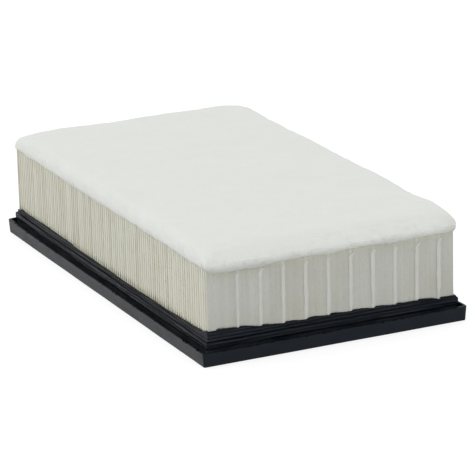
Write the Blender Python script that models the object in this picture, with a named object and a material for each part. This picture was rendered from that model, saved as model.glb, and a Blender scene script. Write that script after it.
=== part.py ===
"""Panel air filter: pleated paper moulded into a soft seal frame, with a felt pre-filter on top.

Units are metres and +Z is up. The origin is the middle of the frame's underside. X runs along
the long side, which the pleats are stacked along, and Y runs along the folds. Air enters
through the felt on top and leaves through the window in the frame's underside.
"""

import math

import bmesh
import bpy

# --- Driving dimensions -------------------------------------------------------------------

FRAME_LENGTH = 0.300
FRAME_WIDTH = 0.170
TOTAL_HEIGHT = 0.0667
PACK_INSET = 0.0057          # from the frame's outer face to the paper pack
TOUCH_GAP = 0.0003           # left between pieces that touch or are bonded

# Pleated paper
PLEAT_COUNT = 95
PLEAT_BOTTOM = 0.0070
PLEAT_TOP = 0.0568
PAPER_THICKNESS = 0.00045
TOP_FOLD_WIDTH = 0.0017
BOTTOM_FOLD_WIDTH = 0.00135

# Seal frame, moulded in soft polyurethane
LIP_HEIGHT = 0.0084
LIP_THICKNESS = 0.0015
GROOVE_FLOOR = 0.0030
COLLAR_WAIST_OUTER = 0.0013  # how far the collar stands off the pack down in the groove
COLLAR_WAIST_HEIGHT = 0.0078
COLLAR_OUTER = 0.0021        # how far its thick upper part stands off the pack
COLLAR_SWELL_HEIGHT = 0.0094
COLLAR_HEIGHT = 0.0129
SKIRT_OUTER = 0.0008         # how far the thin skirt above the collar stands off the pack
SKIRT_HEIGHT = 0.0165
SHELF_TOP = 0.0056           # the ledge that the pack stands on
SHELF_REACH = 0.0060         # how far the ledge reaches in under the pack
FRAME_CORNER_RADIUS = 0.0014
WINDOW_CORNER_RADIUS = 0.0030

# Felt pre-filter
FELT_OVERHANG = 0.0017
FELT_BOTTOM = 0.0580
FELT_CORNER_RADIUS = 0.0070
FELT_TOP_EDGE_RADIUS = 0.0040
FELT_BOTTOM_EDGE_RADIUS = 0.0018

# Glue beads that keep the pleats apart
BEAD_COUNT = 11
BEAD_PITCH = 0.01443
FIRST_BEAD_Y = -0.0749
BEAD_WIDTH = 0.0013
BEAD_THICKNESS = 0.0006
BOTTOM_BEAD_SETBACK = 0.0010

# Adhesive inside the pleats' ends
BOND_DEPTH = 0.0032
BOND_STRIP_THICKNESS = 0.0008

# Facets
CORNER_STEPS = 6
EDGE_STEPS = 2
FELT_EDGE_STEPS = 4

# --- Values that follow from them ---------------------------------------------------------

PACK_LENGTH = FRAME_LENGTH - 2 * PACK_INSET
PACK_WIDTH = FRAME_WIDTH - 2 * PACK_INSET
PLEAT_PITCH = (PACK_LENGTH - TOP_FOLD_WIDTH) / (PLEAT_COUNT - 1)
LAST_PLEAT = PLEAT_COUNT - 1

# --- Colours: name, linear RGB, roughness -------------------------------------------------

SEAL_BLACK = ("seal_polyurethane", (0.014, 0.015, 0.021), 0.62)
FILTER_PAPER = ("filter_paper", (0.60, 0.58, 0.50), 0.85)
FELT_WHITE = ("felt_batting", (0.82, 0.84, 0.81), 0.95)
GLUE_IVORY = ("hot_melt_glue", (0.74, 0.73, 0.66), 0.45)


def clear_scene():
    """Remove every object that the file opened with."""
    for item in list(bpy.data.objects):
        bpy.data.objects.remove(item, do_unlink=True)


def make_material(finish):
    """A plain Principled material for one kind of stuff."""
    name, colour, roughness = finish
    material = bpy.data.materials.new(name)
    material.use_nodes = True
    shader = material.node_tree.nodes["Principled BSDF"]
    shader.inputs["Base Color"].default_value = (*colour, 1.0)
    shader.inputs["Roughness"].default_value = roughness
    shader.inputs["Metallic"].default_value = 0.0
    return material


def make_object(name, mesh_data, finish):
    """Turn a finished bmesh into a named object with its own material."""
    bmesh.ops.recalc_face_normals(mesh_data, faces=mesh_data.faces)
    mesh = bpy.data.meshes.new(name)
    mesh_data.to_mesh(mesh)
    mesh_data.free()
    mesh.materials.append(make_material(finish))
    piece = bpy.data.objects.new(name, mesh)
    bpy.context.scene.collection.objects.link(piece)
    return piece


def rounded_rectangle(half_x, half_y, radius, height):
    """Corner-rounded loop of points at one height, anticlockwise from the +X, +Y corner."""
    points = []
    for corner, (side_x, side_y) in enumerate([(1, 1), (-1, 1), (-1, -1), (1, -1)]):
        centre_x = side_x * (half_x - radius)
        centre_y = side_y * (half_y - radius)
        for step in range(CORNER_STEPS + 1):
            angle = math.radians(90 * (corner + step / CORNER_STEPS))
            points.append((
                centre_x + radius * math.cos(angle),
                centre_y + radius * math.sin(angle),
                height,
            ))
    return points


def filleted_outline(corners, steps):
    """Outline through (a, b, radius) corners, with an arc at each corner that has a radius."""
    outline = []
    for index, (a, b, radius) in enumerate(corners):
        if radius == 0:
            outline.append((a, b))
            continue
        before = corners[index - 1]
        after = corners[(index + 1) % len(corners)]
        toward_before = unit_vector(before[0] - a, before[1] - b)
        toward_after = unit_vector(after[0] - a, after[1] - b)
        centre = (
            a + radius * (toward_before[0] + toward_after[0]),
            b + radius * (toward_before[1] + toward_after[1]),
        )
        for step in range(steps + 1):
            turn = math.radians(90 * step / steps)
            outline.append((
                centre[0] - radius * (toward_after[0] * math.cos(turn) + toward_before[0] * math.sin(turn)),
                centre[1] - radius * (toward_after[1] * math.cos(turn) + toward_before[1] * math.sin(turn)),
            ))
    return outline


def unit_vector(a, b):
    """The pair scaled to length 1."""
    length = math.hypot(a, b)
    return (a / length, b / length)


def join_loops(mesh_data, loop_a, loop_b):
    """Faces between two closed loops with the same number of vertices."""
    count = len(loop_a)
    for index in range(count):
        following = (index + 1) % count
        mesh_data.faces.new((loop_a[index], loop_a[following], loop_b[following], loop_b[index]))


def extruded_outline(name, outline, y_start, y_end, finish):
    """A closed outline in X and Z, extruded along Y."""
    mesh_data = bmesh.new()
    face = mesh_data.faces.new([mesh_data.verts.new((x, y_start, z)) for x, z in outline])
    extruded = bmesh.ops.extrude_face_region(mesh_data, geom=[face], use_keep_orig=True)
    moved = [item for item in extruded["geom"] if isinstance(item, bmesh.types.BMVert)]
    bmesh.ops.translate(mesh_data, verts=moved, vec=(0, y_end - y_start, 0))
    return make_object(name, mesh_data, finish)


# --- Seal frame ---------------------------------------------------------------------------

def frame_corners():
    """The frame's section as (distance out from the pack, height, edge radius) corners."""
    lip_outer = PACK_INSET
    lip_inner = PACK_INSET - LIP_THICKNESS
    return [
        (lip_outer, 0.0, 0.0003),
        (lip_outer, LIP_HEIGHT, 0.0003),
        (lip_inner, LIP_HEIGHT, 0.0003),
        (lip_inner, GROOVE_FLOOR, 0.0006),
        (COLLAR_WAIST_OUTER, GROOVE_FLOOR, 0.0006),
        (COLLAR_WAIST_OUTER, COLLAR_WAIST_HEIGHT, 0.0),
        (COLLAR_OUTER, COLLAR_SWELL_HEIGHT, 0.0),
        (COLLAR_OUTER, COLLAR_HEIGHT, 0.0010),
        (SKIRT_OUTER, COLLAR_HEIGHT, 0.0),
        (SKIRT_OUTER, SKIRT_HEIGHT, 0.0002),
        (TOUCH_GAP, SKIRT_HEIGHT, 0.0),
        (TOUCH_GAP, SHELF_TOP, 0.0),
        (-SHELF_REACH, SHELF_TOP, 0.0006),
        (-SHELF_REACH, 0.0, 0.0008),
    ]


def frame_plan_radius(outward):
    """How round the frame's upright corners are, at one distance out from the pack."""
    if outward < 0:
        return WINDOW_CORNER_RADIUS
    return FRAME_CORNER_RADIUS * outward / PACK_INSET


def build_seal_frame():
    """One moulded ring: outer lip, groove, collar and skirt round the pack, and a ledge under it."""
    mesh_data = bmesh.new()
    loops = []
    for outward, height in filleted_outline(frame_corners(), EDGE_STEPS):
        points = rounded_rectangle(
            PACK_LENGTH / 2 + outward,
            PACK_WIDTH / 2 + outward,
            frame_plan_radius(outward),
            height,
        )
        loops.append([mesh_data.verts.new(point) for point in points])
    for index, loop in enumerate(loops):
        join_loops(mesh_data, loop, loops[(index + 1) % len(loops)])
    return make_object("seal_frame", mesh_data, SEAL_BLACK)


# --- Pleated paper ------------------------------------------------------------------------

def pleat_centre(index):
    """X of one pleat's middle."""
    return (index - LAST_PLEAT / 2) * PLEAT_PITCH


def pleated_outline():
    """Section of the folded sheet: its upper surface from -X to +X, then its lower one back."""
    end_x = PACK_LENGTH / 2
    inner_top = PLEAT_TOP - PAPER_THICKNESS
    inner_valley = PLEAT_BOTTOM + PAPER_THICKNESS
    valley_half = BOTTOM_FOLD_WIDTH / 2 - PAPER_THICKNESS
    crest_half = TOP_FOLD_WIDTH / 2 - PAPER_THICKNESS

    upper = [(-end_x, PLEAT_BOTTOM)]
    lower = [(-end_x + PAPER_THICKNESS, PLEAT_BOTTOM)]
    for index in range(PLEAT_COUNT):
        centre = pleat_centre(index)
        valley = centre + PLEAT_PITCH / 2
        upper += [(centre - TOP_FOLD_WIDTH / 2, PLEAT_TOP), (centre + TOP_FOLD_WIDTH / 2, PLEAT_TOP)]
        lower += [(centre - crest_half, inner_top), (centre + crest_half, inner_top)]
        if index < LAST_PLEAT:
            upper += [(valley - valley_half, inner_valley), (valley + valley_half, inner_valley)]
            lower += [
                (valley - BOTTOM_FOLD_WIDTH / 2, PLEAT_BOTTOM),
                (valley + BOTTOM_FOLD_WIDTH / 2, PLEAT_BOTTOM),
            ]
    upper.append((end_x, PLEAT_BOTTOM))
    lower.append((end_x - PAPER_THICKNESS, PLEAT_BOTTOM))
    return upper + lower[::-1]


def build_pleated_media():
    """The whole pack is one sheet of paper, folded up and down along its length."""
    return extruded_outline(
        "pleated_media", pleated_outline(), -PACK_WIDTH / 2, PACK_WIDTH / 2, FILTER_PAPER
    )


# --- Adhesive in the pleats' ends -----------------------------------------------------------

def bond_outline():
    """A comb: one wedge inside every pleat, and a strip along the bottom that joins them."""
    wedge_top = PLEAT_TOP - PAPER_THICKNESS - TOUCH_GAP
    strip_top = PLEAT_BOTTOM - TOUCH_GAP
    strip_bottom = strip_top - BOND_STRIP_THICKNESS
    narrow = TOP_FOLD_WIDTH / 2 - PAPER_THICKNESS - TOUCH_GAP
    wide = (PLEAT_PITCH - BOTTOM_FOLD_WIDTH) / 2 - TOUCH_GAP

    comb = []
    for index in range(PLEAT_COUNT):
        centre = pleat_centre(index)
        left_foot = narrow if index == 0 else wide
        right_foot = narrow if index == LAST_PLEAT else wide
        comb += [
            (centre - left_foot, strip_top),
            (centre - narrow, wedge_top),
            (centre + narrow, wedge_top),
            (centre + right_foot, strip_top),
        ]
    comb += [(comb[-1][0], strip_bottom), (comb[0][0], strip_bottom)]
    return comb


def build_edge_bond(name, side):
    """The bead of adhesive that shuts the pleats' clean side along one long edge of the pack."""
    outer_y = side * (PACK_WIDTH / 2 - TOUCH_GAP)
    inner_y = outer_y - side * BOND_DEPTH
    return extruded_outline(name, bond_outline(), inner_y, outer_y, GLUE_IVORY)


# --- Glue beads -----------------------------------------------------------------------------

def bead_section():
    """Half-round section of a bead as (along Y, height off the paper) pairs."""
    half = BEAD_WIDTH / 2
    shoulder = 0.7
    crown = 0.25
    return [
        (-half, 0.0),
        (-half * shoulder, BEAD_THICKNESS * shoulder),
        (-half * crown, BEAD_THICKNESS),
        (half * crown, BEAD_THICKNESS),
        (half * shoulder, BEAD_THICKNESS * shoulder),
        (half, 0.0),
    ]


def swept_bead(name, stations, y_centre):
    """A bead laid through stations, each (x, z, normal x, normal z) on the paper's surface."""
    mesh_data = bmesh.new()
    loops = []
    for x, z, normal_x, normal_z in stations:
        loops.append([
            mesh_data.verts.new((x + height * normal_x, y_centre + across, z + height * normal_z))
            for across, height in bead_section()
        ])
    for loop_a, loop_b in zip(loops, loops[1:]):
        join_loops(mesh_data, loop_a, loop_b)
    mesh_data.faces.new(loops[0])
    mesh_data.faces.new(loops[-1])
    return make_object(name, mesh_data, GLUE_IVORY)


def top_bead_stations():
    """Up the front end panel, over every upper fold, and down the rear end panel."""
    edge_x = PACK_LENGTH / 2
    foot_z = SKIRT_HEIGHT + TOUCH_GAP
    stations = [(edge_x + TOUCH_GAP, foot_z, 1.0, 0.0)]
    for side, first_angle in ((1, 0), (-1, 90)):
        for step in range(4):
            angle = math.radians(first_angle + 30 * step)
            normal_x = math.cos(angle)
            normal_z = math.sin(angle)
            stations.append((
                side * edge_x + TOUCH_GAP * normal_x,
                PLEAT_TOP + TOUCH_GAP * normal_z,
                normal_x,
                normal_z,
            ))
    stations.append((-edge_x - TOUCH_GAP, foot_z, -1.0, 0.0))
    return stations


def bottom_bead_stations():
    """Straight across every lower fold, on the clean side."""
    end_x = PACK_LENGTH / 2 - BOTTOM_BEAD_SETBACK
    surface_z = PLEAT_BOTTOM - TOUCH_GAP
    return [(end_x, surface_z, 0.0, -1.0), (-end_x, surface_z, 0.0, -1.0)]


def build_beads():
    """Parallel beads on both faces of the paper, evenly spaced across its width."""
    for index in range(BEAD_COUNT):
        y_centre = FIRST_BEAD_Y + index * BEAD_PITCH
        number = f"{index + 1:02d}"
        swept_bead("top_glue_bead_" + number, top_bead_stations(), y_centre)
        swept_bead("bottom_glue_bead_" + number, bottom_bead_stations(), y_centre)


# --- Felt pre-filter ------------------------------------------------------------------------

def build_prefilter_felt():
    """A thick pad of loose felt with soft edges, bonded over the upper folds."""
    half_x = PACK_LENGTH / 2 + FELT_OVERHANG
    half_y = PACK_WIDTH / 2 + FELT_OVERHANG
    inner_edge = FELT_CORNER_RADIUS
    section = filleted_outline(
        [
            (inner_edge, FELT_BOTTOM, 0.0),
            (0.0, FELT_BOTTOM, FELT_BOTTOM_EDGE_RADIUS),
            (0.0, TOTAL_HEIGHT, FELT_TOP_EDGE_RADIUS),
            (inner_edge, TOTAL_HEIGHT, 0.0),
        ],
        FELT_EDGE_STEPS,
    )[1:-1]

    mesh_data = bmesh.new()
    loops = []
    for inset, height in section:
        points = rounded_rectangle(
            half_x - inset, half_y - inset, FELT_CORNER_RADIUS - inset, height
        )
        loops.append([mesh_data.verts.new(point) for point in points])
    for loop_a, loop_b in zip(loops, loops[1:]):
        join_loops(mesh_data, loop_a, loop_b)
    mesh_data.faces.new(loops[0])
    mesh_data.faces.new(loops[-1])
    return make_object("prefilter_felt", mesh_data, FELT_WHITE)


def main():
    clear_scene()
    build_seal_frame()
    build_pleated_media()
    build_edge_bond("edge_bond_left", -1)
    build_edge_bond("edge_bond_right", 1)
    build_beads()
    build_prefilter_felt()


main()
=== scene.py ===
import math

import bmesh
import bpy
import numpy as np
from mathutils import Matrix, Vector


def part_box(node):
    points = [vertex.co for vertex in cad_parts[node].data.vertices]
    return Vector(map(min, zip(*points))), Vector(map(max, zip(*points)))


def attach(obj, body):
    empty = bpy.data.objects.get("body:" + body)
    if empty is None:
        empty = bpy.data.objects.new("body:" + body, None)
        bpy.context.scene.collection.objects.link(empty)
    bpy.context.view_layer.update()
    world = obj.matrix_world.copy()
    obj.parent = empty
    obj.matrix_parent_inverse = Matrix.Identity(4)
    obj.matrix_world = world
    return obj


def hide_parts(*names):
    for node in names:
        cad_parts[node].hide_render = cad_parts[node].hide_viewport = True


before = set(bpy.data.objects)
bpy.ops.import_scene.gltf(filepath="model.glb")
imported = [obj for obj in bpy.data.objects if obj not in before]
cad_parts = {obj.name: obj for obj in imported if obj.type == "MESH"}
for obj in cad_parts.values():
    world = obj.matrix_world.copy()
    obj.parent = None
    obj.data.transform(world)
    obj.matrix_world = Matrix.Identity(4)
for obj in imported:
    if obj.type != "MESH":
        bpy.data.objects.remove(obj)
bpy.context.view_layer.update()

# The looks of a panel air filter: soft seal frame, pleated paper, glue beads and a felt pad.
# Lengths are in metres, in the CAD frame: X along the long side, Y along the folds, Z up.

MM = 0.001

# --- Places taken from the CAD frame ---

frame_low, frame_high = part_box("seal_frame")
pack_low, pack_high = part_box("pleated_media")
felt_low, felt_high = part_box("prefilter_felt")
TOP_BEADS = sorted(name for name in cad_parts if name.startswith("top_glue_bead"))
BOTTOM_BEADS = sorted(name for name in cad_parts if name.startswith("bottom_glue_bead"))
BEAD_YS = [sum(corner.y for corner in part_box(name)) / 2 for name in TOP_BEADS]
BEAD_PITCH = BEAD_YS[1] - BEAD_YS[0]
HALF_LENGTH = pack_high.x
HALF_WIDTH = pack_high.y
PACK_SIDES = np.array([HALF_LENGTH, HALF_WIDTH])
PACK_INSET = frame_high.x - pack_high.x
SKIRT_TOP = frame_high.z

# --- Sizes that the looks add ---

PLEAT_COUNT = 95
TOP_FOLD_WIDTH = 1.7 * MM
PLEAT_PITCH = (2 * HALF_LENGTH - TOP_FOLD_WIDTH) / (PLEAT_COUNT - 1)
PAPER = 0.45 * MM
FOLD_RADIUS = 0.62 * MM
VALLEY_RADIUS = 0.45 * MM
PINCHED_HALF = 1.25 * MM  # a pleat's panels at its glued ends, from its middle
LOOSE_HALF = 0.62 * MM  # the same just above the frame, where the glue stops
PINCH_LENGTH = 7 * MM
TENT_RISE = 0.50 * MM  # of an end panel over each bead
TENT_REACH = 1.9 * MM
PANEL_DRAW = 0.22 * MM  # how far in it lies between the beads

LIP_THICKNESS = 1.5 * MM
LIP_HEIGHT = 8.4 * MM
GROOVE_FLOOR = 3.0 * MM
WAIST_OUTER = 1.3 * MM  # the collar down in the groove
WAIST_HEIGHT = 7.6 * MM
COLLAR_OUTER = 2.1 * MM  # the collar's swollen upper part
SWELL_HEIGHT = 9.8 * MM
COLLAR_HEIGHT = 12.9 * MM
SKIRT_OUTER = 0.8 * MM
RIDGE_PITCH = 1.9 * MM  # of the fine ridges that run along the skirt
RIDGE_DEPTH = 0.22 * MM
FLUTE_DEPTH = 0.10 * MM
SHELF_TOP = 5.6 * MM
SHELF_REACH = 6.0 * MM
CORNER_RADIUS = 1.4 * MM
WINDOW_RADIUS = 3.0 * MM
CURL_REACH = 9 * MM  # from the two corners that curl up
LIP_CURL = 0.9 * MM
SKIRT_CURL = 1.1 * MM
LIP_LEAN = 0.70 * MM  # how much further out the lip's top stands than its foot
LUMP_REACH = 2.2 * MM  # of the lump at the far right corner
LUMP_DEPTH = 0.7 * MM
SHALLOW_NICKS = 70
DEEP_NICKS = 26
DEEP_NICK_REACH = 0.9 * MM
NICK_DEPTH = 0.5 * MM
NICK_INSET = 0.1 * MM

# --- Camera ---

CAMERA_AZIMUTH = math.radians(64.87)
CAMERA_ELEVATION = math.radians(17.32)
CAMERA_ROLL = math.radians(-1.44)
CAMERA_DISTANCE = 1.8695
CAMERA_LENS = 229.34
CAMERA_CLIP = (0.05, 50.0)
AIM_RIGHT = 6.93 * MM
AIM_UP = 22.35 * MM


def make_camera():
    """A long lens from above the front corner, with a small roll."""
    azimuth, elevation = CAMERA_AZIMUTH, CAMERA_ELEVATION
    back = Vector((
        math.sin(azimuth) * math.cos(elevation),
        -math.cos(azimuth) * math.cos(elevation),
        math.sin(elevation),
    ))
    level = Vector((math.cos(azimuth), math.sin(azimuth), 0.0))
    upright = back.cross(level)
    right = level * math.cos(CAMERA_ROLL) + upright * math.sin(CAMERA_ROLL)
    up = upright * math.cos(CAMERA_ROLL) - level * math.sin(CAMERA_ROLL)

    data = bpy.data.cameras.new("camera")
    data.lens = CAMERA_LENS
    data.clip_start, data.clip_end = CAMERA_CLIP
    camera = add_object("camera", data)
    turn = Matrix((right, up, back)).transposed().to_4x4()
    place = back * CAMERA_DISTANCE + right * AIM_RIGHT + up * AIM_UP
    camera.matrix_world = Matrix.Translation(place) @ turn
    bpy.context.scene.camera = camera


# --- Mesh helpers ---

def ripple(points, size, seed, waves=14):
    """Smooth noise of about -1 to 1 at an array of points: crossed waves about `size` long."""
    rng = np.random.default_rng(seed)
    directions = rng.normal(size=(waves, points.shape[-1]))
    directions /= np.linalg.norm(directions, axis=1, keepdims=True)
    lengths = size * rng.uniform(0.7, 1.6, waves)
    phases = rng.uniform(0, 2 * math.pi, waves)
    total = np.zeros(points.shape[:-1])
    for direction, length, phase in zip(directions, lengths, phases):
        total += np.sin(points @ direction * (2 * math.pi / length) + phase)
    return total / math.sqrt(waves)


def smooth_step(value, low, high):
    """0 below low, 1 above high, and an even curve between."""
    share = np.clip((value - low) / (high - low), 0.0, 1.0)
    return share * share * (3 - 2 * share)


def waves(points, height, size, seed):
    """Smooth noise in metres at an array of points, `height` mm high and about `size` mm long."""
    return height * MM * ripple(points, size * MM, seed)


def bell(distance, reach):
    """1 where the distance is 0, falling off to almost nothing at twice the reach."""
    return np.exp(-(distance / reach) ** 2)


def join(*coordinates):
    """Points from one number or array of numbers for each axis."""
    return np.stack(np.broadcast_arrays(*coordinates), axis=-1)


def grid_faces(rows, columns, first=0, wrap_rows=False, wrap_columns=False):
    """Quads of a grid of vertices that are numbered row by row from first."""
    index = first + np.arange(rows * columns).reshape(rows, columns)
    index = np.pad(index, ((0, int(wrap_rows)), (0, int(wrap_columns))), mode="wrap")
    corners = [index[:-1, :-1], index[:-1, 1:], index[1:, 1:], index[1:, :-1]]
    return np.stack(corners, axis=-1).reshape(-1, 4)


def add_object(name, data):
    """A new object in the scene."""
    thing = bpy.data.objects.new(name, data)
    bpy.context.scene.collection.objects.link(thing)
    return thing


def new_mesh(name, vertices, faces, merge=0.0):
    """A mesh from vertex and face arrays, with vertices joined within `merge`, and outward faces."""
    mesh = bpy.data.meshes.new(name)
    mesh.from_pydata(np.asarray(vertices).reshape(-1, 3).tolist(), [], [list(map(int, f)) for f in faces])
    work = bmesh.new()
    work.from_mesh(mesh)
    if merge:
        bmesh.ops.remove_doubles(work, verts=work.verts, dist=merge)
    bmesh.ops.recalc_face_normals(work, faces=work.faces)
    work.to_mesh(mesh)
    work.free()
    return mesh


def make_piece(name, vertices, faces, material, sharp_angle):
    """A smooth-shaded object from vertex and face arrays, riding on the body."""
    mesh = new_mesh(name, vertices, faces)
    mesh.shade_smooth()
    mesh.set_sharp_from_angle(angle=math.radians(sharp_angle))
    mesh.materials.append(material)
    piece = add_object(name, mesh)
    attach(piece, "root")
    return piece


def thin_sheet(front, back):
    """Closed sheet from two grids of points of the same size, as vertices and faces."""
    rows, columns = front.shape[:2]
    vertices = np.concatenate([front.reshape(-1, 3), back.reshape(-1, 3)])
    offset = rows * columns
    faces = [*grid_faces(rows, columns), *grid_faces(rows, columns, offset)]
    index = np.arange(offset).reshape(rows, columns)
    ring = [*index[0, :-1], *index[:-1, -1], *index[-1, :0:-1], *index[:0:-1, 0]]
    faces += [(a, b, b + offset, a + offset) for a, b in zip(ring, ring[1:] + ring[:1])]
    return vertices, faces


# --- Material helpers ---

class Nodes:
    """Adds nodes to a tree that all start from one kind of texture coordinates."""

    def __init__(self, tree, coordinates):
        self.tree = tree
        self.place = self.add("TexCoord").outputs[coordinates]

    def fill(self, node, inputs):
        """Link or set each of a node's inputs, from an output or from a plain value."""
        for name, value in inputs.items():
            if isinstance(value, bpy.types.NodeSocket):
                self.tree.links.new(value, node.inputs[name])
            else:
                node.inputs[name].default_value = value

    def add(self, kind, inputs=None, **settings):
        """A new node with its settings and inputs."""
        node = self.tree.nodes.new("ShaderNode" + kind)
        for name, value in settings.items():
            setattr(node, name, value)
        self.fill(node, inputs or {})
        return node

    def axis(self, name):
        """X, Y or Z of the coordinates."""
        return self.add("SeparateXYZ", {0: self.place}).outputs[name]

    def noise(self, sizes, detail=2.0):
        """Noise from 0 to 1 whose features are about `sizes` millimetres long along X, Y and Z."""
        scale = tuple(1 / (size * MM) for size in sizes)
        stretched = self.add("VectorMath", {0: self.place, 1: scale}, operation="MULTIPLY").outputs[0]
        return self.add("TexNoise", {"Vector": stretched, "Scale": 1.0, "Detail": detail}).outputs["Fac"]

    def calculate(self, operation, value, number=0.0, second=0.0):
        """A math node on one output and up to two numbers."""
        return self.add("Math", {0: value, 1: number, 2: second}, operation=operation).outputs[0]

    def spread(self, value, low, high):
        """0 where the value is low or less, 1 where it is high or more, and even between."""
        return self.add("MapRange", {"Value": value, "From Min": low, "From Max": high}).outputs["Result"]

    def to_side(self, axis, side, start, end=0.0):
        """0 to 1 between `start` and `end` metres inside the sides, which lie at plus and minus `side`."""
        return self.spread(self.calculate("ABSOLUTE", self.axis(axis)), side - start, side - end)

    def ramp(self, factor, stops):
        """Colour ramp through (position, linear colour) stops; a plain number is a grey."""
        node = self.add("ValToRGB", {"Fac": factor})
        elements = node.color_ramp.elements
        while len(elements) < len(stops):
            elements.new(0.5)
        for element, (position, colour) in zip(elements, stops):
            element.position = position
            element.color = (*((colour,) * 3 if isinstance(colour, float) else colour), 1.0)
        return node.outputs["Color"]

    def multiply(self, colour, shade, amount=1.0):
        """One colour times another, by a fixed amount or by an output."""
        inputs = {"Factor": amount, "A": colour, "B": shade}
        return self.add("Mix", inputs, data_type="RGBA", blend_type="MULTIPLY").outputs["Result"]

    def shade(self, colour, factor, stops, amount=1.0):
        """A colour times a ramp of the factor."""
        return self.multiply(colour, self.ramp(factor, stops), amount)


class Paint(Nodes):
    """A new Principled material and the nodes behind it, which start from object coordinates."""

    def __init__(self, name, colour, inputs):
        self.material = bpy.data.materials.new(name)
        self.material.use_nodes = True
        super().__init__(self.material.node_tree, "Object")
        self.shader = self.tree.nodes["Principled BSDF"]
        self.fill(self.shader, {"Base Color": (*colour, 1.0), **inputs})

    def finish(self, colour, bumps):
        """The material, with its colour and (height, millimetres, strength) bumps, coarse to fine."""
        normal = {}
        for height, distance, strength in bumps:
            inputs = {"Height": height, "Distance": distance * MM, "Strength": strength, **normal}
            normal = {"Normal": self.add("Bump", inputs).outputs["Normal"]}
        self.fill(self.shader, {"Base Color": colour, **normal})
        return self.material


# --- Materials ---

GROOVE_BAND = (5.5 * MM, 1.2 * MM)  # from the frame's side: where the groove's painted light starts and ends
GROOVE_LIGHT_TOP = 12.5 * MM
HEM_SHADE_REACH = 8 * MM  # how far in from the pack's side the felt's hem is painted darker


def groove_painted_light(paint, colour, patches):
    """The colour, paler in the groove behind the lip: painted light that lifts the groove's shade, in
    patches.
    """
    across_x = paint.to_side("X", frame_high.x, *GROOVE_BAND)
    across_y = paint.to_side("Y", frame_high.y, *GROOVE_BAND)
    height = paint.spread(paint.axis("Z"), 0.0, GROOVE_LIGHT_TOP)
    height = paint.ramp(height, [(0.10, 0.0), (0.20, 1.0), (0.62, 1.0), (0.75, 0.0)])
    band = [(0.0, 0.0), (0.15, 1.0), (0.85, 1.0), (1.0, 0.0)]
    short_side = paint.shade(paint.ramp(across_x, band), across_y, [(0.85, 1.0), (1.0, 0.0)])
    long_side = paint.shade(paint.ramp(across_y, band), across_x, [(0.0, 1.0), (0.15, 0.0)])
    # Painted light: the groove's colour is raised in patches to lift its shade.
    groove_lift = paint.ramp(patches, [(0.3, (5.2, 4.2, 3.2)), (0.7, (8.6, 7.2, 5.6))])
    for side in (short_side, long_side):
        colour = paint.multiply(colour, groove_lift, paint.multiply(side, height))
    return colour


def seal_material():
    """Moulded polyurethane foam: near-black, with a fine-grained skin, dusty patches and pits, dust and
    painted highlights on the ridges, and painted light in the groove.
    """
    paint = Paint("black_foam_skin", (0.002, 0.003, 0.006), {
        "Roughness": 0.37, "IOR": 1.25, "Specular Tint": (0.76, 0.91, 1.0, 1.0),
    })
    grain = paint.noise((0.6, 0.6, 0.6), detail=3.0)
    patches = paint.noise((14, 14, 6), detail=4.0)
    colour = paint.ramp(patches, [(0.30, (0.0030, 0.0044, 0.0076)), (0.72, (0.0060, 0.0074, 0.0110))])
    colour = paint.shade(colour, grain, [(0.30, 0.65), (0.70, 1.40)])
    # Dust and painted highlights lie on the upper slope of each ridge of the skirt and collar.
    drawn = paint.noise((45, 45, 1.5))
    height = paint.axis("Z")
    above = paint.spread(height, LIP_HEIGHT, LIP_HEIGHT + 1.5 * MM)
    slope = paint.calculate("MULTIPLY_ADD", height, 2 * math.pi / RIDGE_PITCH, -math.pi / 4)
    ledge = paint.spread(paint.calculate("SINE", slope), -1.0, 1.0)
    dust_and_highlight = paint.multiply(paint.ramp(drawn, [(0.38, 0.2), (0.58, 1.0)]), above)
    colour = paint.shade(colour, ledge, [(0.55, 0.6), (0.92, (5.2, 4.2, 3.4))], dust_and_highlight)
    colour = groove_painted_light(paint, colour, patches)
    paint.fill(paint.shader, {"Roughness": paint.ramp(patches, [(0.3, 0.32), (0.7, 0.42)])})
    pits = paint.ramp(paint.noise((1.3, 1.3, 1.3), detail=1.0), [(0.24, 0.0), (0.32, 1.0)])
    ridged = paint.multiply(paint.ramp(drawn, [(0.35, 0.0), (0.65, 1.0)]), above)
    return paint.finish(colour, [(ridged, 0.9, 1.0), (pits, 0.25, 0.5), (grain, 0.12, 0.7)])


def paper_paint(name, pale, deep):
    """Cream filter paper: fibrous and unevenly tinted, with a few brown specks near one end."""
    paint = Paint(name, pale, {"Roughness": 0.85, "IOR": 1.35})
    broad = paint.noise((38, 38, 20), detail=3.0)
    per_pleat = paint.noise((1.7, 60, 26))
    streak = paint.noise((60, 3.2, 90), detail=3.0)
    fibre = paint.noise((0.5, 0.9, 2.2), detail=4.0)
    specks = paint.noise((1.0, 1.0, 1.6), detail=1.0)
    along = paint.spread(paint.axis("X"), 20 * MM, 140 * MM)
    speckled = paint.ramp(along, [(0.15, 0.0), (0.45, 1.0), (0.75, 1.0), (0.95, 0.1)])
    colour = paint.ramp(broad, [(0.30, deep), (0.70, pale)])
    colour = paint.shade(colour, per_pleat, [(0.28, (0.94, 0.925, 0.89)), (0.60, 1.0)])
    colour = paint.shade(colour, streak, [(0.30, 0.935), (0.70, 1.045)])
    colour = paint.shade(colour, fibre, [(0.30, 0.95), (0.68, 1.03)])
    colour = paint.shade(colour, specks, [(0.65, 1.0), (0.73, (0.60, 0.52, 0.40))], speckled)
    return paint, colour, fibre


def pleat_material():
    """The folded sheet's paper."""
    paint, colour, fibre = paper_paint("cream_filter_paper", (0.572, 0.563, 0.450), (0.567, 0.548, 0.428))
    return paint.finish(colour, [(fibre, 0.10, 0.5)])


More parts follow.
